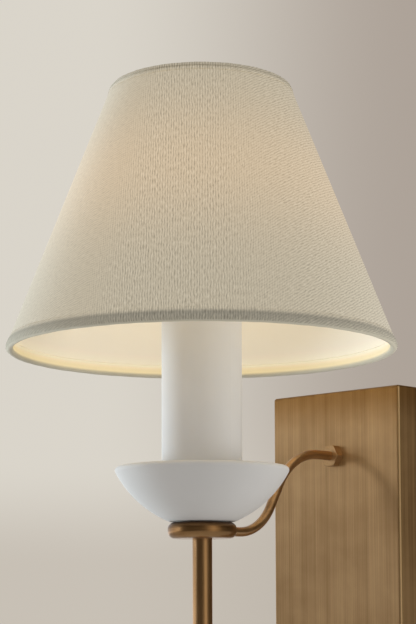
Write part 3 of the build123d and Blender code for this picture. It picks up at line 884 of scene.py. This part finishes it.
def linen(name):
    """Linen, with the bulb's light that it lets through painted on as a glow, and painted shade on
    its hems.
    """
    material, tree, shader = finish_of(name)
    weave = use(tree, woven, {"Flat": on_cut(tree), "Rib": rib_width, "Depth": 0.5})
    where = use(tree, on_shade, {"Place": placed(tree)})
    base = blend_of(tree, weave["Light"], linen_dark, linen_light)
    # Painted shade: where a hem doubles the cloth its outside is tinted darker, with a painted
    # dark line in the bottom hem's crease.
    crease = math_of(tree, "MULTIPLY", where["Crease"], 0.12)
    shaded_in_crease = blend_of(tree, crease, tinted(tree, base, hem_shade_tint), black)
    outside = blend_of(tree, where["Single"], shaded_in_crease, base)
    # Painted shade: inside, the roll is a darker cream low down, turning to the liner's colour
    # higher up.
    up_the_leg = ranged(tree, where["Along"], 0.004, 0.009)
    inside = blend_of(tree, up_the_leg, roll_shade_cream, liner_light)
    # Painted glow: the bulb's light through the single cloth, strongest at the bulb's height and
    # weaker where a hem doubles it.
    passed = blend_of(tree, where["Glow"], through_far, through_near)
    threads = math_of(tree, "ADD", math_of(tree, "MULTIPLY", weave["Light"], 0.8), 0.6)
    shining = blend_of(tree, math_of(tree, "MULTIPLY", threads, where["Single"]), black, passed)
    # Painted glow: the bulb's light on the inside of the roll, fading to none towards its lower
    # edge.
    rolled = blend_of(tree, up_the_leg, hem_lit, liner_lit_low)
    round_the_roll = ranged(tree, where["Along"], 0.0004, 0.0028)
    lit_inside = blend_of(tree, round_the_roll, black, rolled)
    link(
        tree,
        shader,
        {
            "Base Color": blend_of(tree, where["Inside"], outside, inside),
            "Roughness": 0.85,
            "Normal": weave["Normal"],
            "Specular IOR Level": 0.15,
            "Sheen Weight": 0.08,
            "Sheen Roughness": 0.5,
            "Sheen Tint": sheen_tint,
            "Emission Color": blend_of(tree, where["Inside"], shining, lit_inside),
            "Emission Strength": 1.0,
        },
    )
    return material


shade_linen = linen("linen, lit through")
cloth_cover = cone_skin("shade_cloth", 0.0, cloth_thick)
dress(cloth_cover, "shade_cloth", "shade", shade_linen)
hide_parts("shade_cover")

# -------------------------------------------------------------- the rolled hems
# Strips of the same linen, rolled round the wire rings and glued down on both faces.
# The bottom hem is fat on the inside, and its lower part lets no light through.
hem_linen = linen("hem linen")
pucker_depth = 0.00003


def hem_ring(points, inside, steps):
    """A ring of revolution from a closed run of points in the (along, out) of the slant."""
    mesh = bpy.data.meshes.new("hem_ring")
    places = [on_slant(*point) for point in points]
    mesh.from_pydata(
        [(radius, axis_y, height) for radius, height in places],
        [(n, (n + 1) % len(places)) for n in range(len(places))],
        [],
    )
    ring = bpy.data.objects.new("hem_ring", mesh)
    bpy.context.scene.collection.objects.link(ring)
    clear_selection()
    ring.select_set(True)
    bpy.context.view_layer.objects.active = ring
    bpy.ops.object.mode_set(mode="EDIT")
    bpy.ops.mesh.select_all(action="SELECT")
    bpy.ops.mesh.spin(steps=steps, angle=math.tau, center=(0, axis_y, 0), axis=(0, 0, 1))
    bpy.ops.mesh.select_all(action="SELECT")
    bpy.ops.mesh.remove_doubles(threshold=0.00001)
    bpy.ops.mesh.normals_make_consistent(inside=inside)
    bpy.ops.object.mode_set(mode="OBJECT")
    return ring


def hem(name, wire_radius, height, from_top, steps):
    """A rolled hem round a wire, its legs on both faces of the shade."""
    cloth, leg, gap = 0.0008, 0.0004, 0.00005
    roll = wire_radius + cloth
    start = roll + wire_radius + 2 * gap
    middle = leg - roll
    inner_face = -(cloth_thick + liner_thick) - gap
    outer_end, inner_end = height + 0.0012, height + 0.0022
    outline = [
        (outer_end, 0.00009),
        (height - 0.0004, leg * 0.5),
        (height - 0.0016, leg * 0.85),
        (start, leg),
    ]
    for number in range(17):
        turn = math.radians(number * 240 / 16)
        outline.append((roll - roll * math.sin(turn), middle + roll * math.cos(turn)))
    last_along, last_out = outline[-1]
    for share, left in ((0.2, 0.64), (0.42, 0.34), (0.65, 0.14), (0.85, 0.04), (1.0, 0.01)):
        along = last_along + share * (inner_end - last_along)
        outline.append((along, left * last_out + (1 - left) * inner_face))
    outline += [(start - gap, inner_face), (start - gap, gap), (outer_end, gap)]
    bore = wire_radius + gap
    hole = []
    for degrees in range(0, 360, 20):
        turn = math.radians(degrees)
        hole.append((roll + bore * math.cos(turn), middle + bore * math.sin(turn)))
    if from_top:
        outline = [(slant - along, out) for along, out in outline]
        hole = [(slant - along, out) for along, out in hole]
    outer = hem_ring(outline, False, steps)
    for vertex in outer.data.vertices:
        turn = math.atan2(vertex.co.x, -(vertex.co.y - axis_y))
        pucker = (
            math.sin(97 * turn + 0.6)
            + 0.8 * math.sin(143 * turn + 2.1 + 9 * vertex.co.z)
            + 0.9 * math.sin(31 * turn + 1.3)
            + 0.6 * math.sin(211 * turn + 0.4)
        )
        outwards = Vector((vertex.co.x, vertex.co.y - axis_y, 0)).normalized()
        vertex.co += outwards * pucker * pucker_depth
        vertex.co.z += 0.00005 * math.sin(19 * turn) + 0.00004 * math.sin(53 * turn + 1.0)
    inner = hem_ring(hole, True, steps)
    clear_selection()
    inner.select_set(True)
    outer.select_set(True)
    bpy.context.view_layer.objects.active = outer
    bpy.ops.object.join()
    flat_cut(outer)
    return dress(outer, name, "shade", hem_linen)


bottom_hem = hem("bottom_hem_cloth", 0.0016, hem_height_low, False, 720)
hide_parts("shade_bottom_hem")
top_hem = hem("top_hem_cloth", 0.0014, hem_height_high, True, 480)
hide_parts("shade_top_hem")

# ------------------------------------------------------------------ the lapped seam
# The cloth's free edge, lapped over the other and glued, down the side towards the
# wall. It shows as a low ridge from hem to hem.
seam_width = 0.009
seam_thick = 0.0004
hem_clear = 0.00005
seam_length = slant - hem_height_low - hem_height_high - 2 * hem_clear
clear_selection()
bpy.ops.mesh.primitive_grid_add(x_subdivisions=10, y_subdivisions=80, size=1)
seam = at_rest(bpy.context.object, "seam_cloth")
for vertex in seam.data.vertices:
    side = vertex.co.x * seam_width
    along = hem_height_low + hem_clear + (vertex.co.y + 0.5) * seam_length
    if vertex.co.x > 0.49:
        side += 0.00012 * math.sin(along * 210)
    radius, height = on_slant(along, 0.00002)
    turn = side / radius
    vertex.co = (radius * math.sin(turn), axis_y + radius * math.cos(turn), height)
flat_cut(seam)
lap = seam.modifiers.new("lap", "SOLIDIFY")
lap.thickness = seam_thick - 0.00002
lap.offset = 1
clear_selection()
bpy.context.view_layer.objects.active = seam
bpy.ops.object.modifier_apply(modifier=lap.name)
dress(seam, "seam_cloth", "shade", shade_linen)
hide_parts("shade_seam")

# ------------------------------------------------------------ the floor, the light
# A plain pale floor and backdrop, a soft lamp from the left, a small one low on the
# right, one far off that throws the arm's shadow, and an even fill from all round.
floor_tone = (0.84, 0.82, 0.79, 1)
clear_selection()
bpy.ops.mesh.primitive_plane_add(size=14, location=(0, 0, -1.3))
floor = bpy.context.object
floor.name = "floor"
floor_finish, tree, shader = finish_of("plain floor")
link(tree, shader, {"Base Color": floor_tone, "Roughness": 0.9, "Specular IOR Level": 0.1})
floor.data.materials.append(floor_finish)


def soft_lamp(name, azimuth, elevation, distance, size, watts, tone, glossy=False):
    """A square area lamp that looks at the light from a bearing round it."""
    lamp = bpy.data.objects.new(name, bpy.data.lights.new(name, "AREA"))
    lamp.data.shape = "SQUARE"
    lamp.data.size = size
    lamp.data.energy = watts
    lamp.data.color = tone
    bearing, rise = math.radians(azimuth), math.radians(elevation)
    level = math.cos(rise)
    offset = Vector((math.cos(bearing) * level, math.sin(bearing) * level, math.sin(rise)))
    lamp.location = Vector((0, axis_y, 0.15)) + offset * distance
    lamp.rotation_euler = (-offset).to_track_quat("-Z", "Y").to_euler()
    lamp.visible_camera = False
    lamp.visible_glossy = glossy
    bpy.context.scene.collection.objects.link(lamp)


soft_lamp("window", 194, -7, distance=1.25, size=0.4, watts=13.5, tone=(0.74, 0.88, 1.0))
soft_lamp("side fill", 34, -18, distance=0.34, size=0.14, watts=0.26, tone=(0.98, 0.99, 1.0))
soft_lamp(
    "left lamp", 228.4, 5.5, distance=2.4, size=0.3, watts=2.3, tone=(0.97, 0.98, 1.0), glossy=True
)

world = bpy.data.worlds.new("studio")
bpy.context.scene.world = world
world.use_nodes = True
tree = world.node_tree
tree.nodes.clear()
ray = put(tree, "ShaderNodeLightPath").outputs
sight = put(tree, "ShaderNodeTexCoord").outputs["Generated"]


def along_way(tree, way):
    """How far the line of sight goes along a direction."""
    sockets = {0: sight, 1: way}
    return put(tree, "ShaderNodeVectorMath", sockets, operation="DOT_PRODUCT").outputs["Value"]


# What the camera sees behind the light: paler at the left, more so towards the top.
rightward = along_way(tree, (0.7071, 0.7071, 0.0))
frontward = along_way(tree, (0.7071, -0.7071, 0.0))
upward = along_way(tree, (0.0, 0.0, 1.0))
left_low, left_high = (0.575, 0.527, 0.462, 1), (0.70, 0.662, 0.592, 1)
right_low, right_high = (0.50, 0.45, 0.39, 1), (0.42, 0.365, 0.317, 1)
left_side = blend_of(tree, ranged(tree, upward, 0.02, 0.085), left_low, left_high)
right_side = blend_of(tree, ranged(tree, upward, 0.02, 0.12), right_low, right_high)
backdrop = blend_of(tree, ranged(tree, rightward, -0.06, 0.135), left_side, right_side)

# What the metal mirrors: a dark room in front and at the right, a bright strip
# between them, and daylight from the left round to the back, stronger low down.
dark_room, strip_light = (0.075, 0.058, 0.034, 1), (0.95, 0.83, 0.66, 1)
day_low, day_high = (1.45, 1.38, 1.28, 1), (0.60, 0.61, 0.64, 1)
turn = math_of(tree, "ARCTAN2", rightward, frontward)
strip = bell(tree, turn, 0.66, 0.32)
leftward = ranged(tree, turn, -1.15, -1.8)
behind = ranged(tree, turn, 2.4, 3.1)
strip_lit = blend_of(tree, strip, dark_room, strip_light)
daylight = blend_of(tree, ranged(tree, upward, -0.03, 0.07), day_low, day_high)
mirrored = blend_of(tree, math_of(tree, "MAXIMUM", leftward, behind), strip_lit, daylight)

fill = (0.57, 0.56, 0.56, 1)
seen = blend_of(tree, ray["Is Glossy Ray"], fill, mirrored)
direct = math_of(tree, "MAXIMUM", ray["Is Camera Ray"], ray["Is Transmission Ray"])
shown = blend_of(tree, direct, seen, backdrop)
sky = put(tree, "ShaderNodeBackground", {"Color": shown, "Strength": 1.0})
put(tree, "ShaderNodeOutputWorld", {"Surface": sky.outputs[0]})
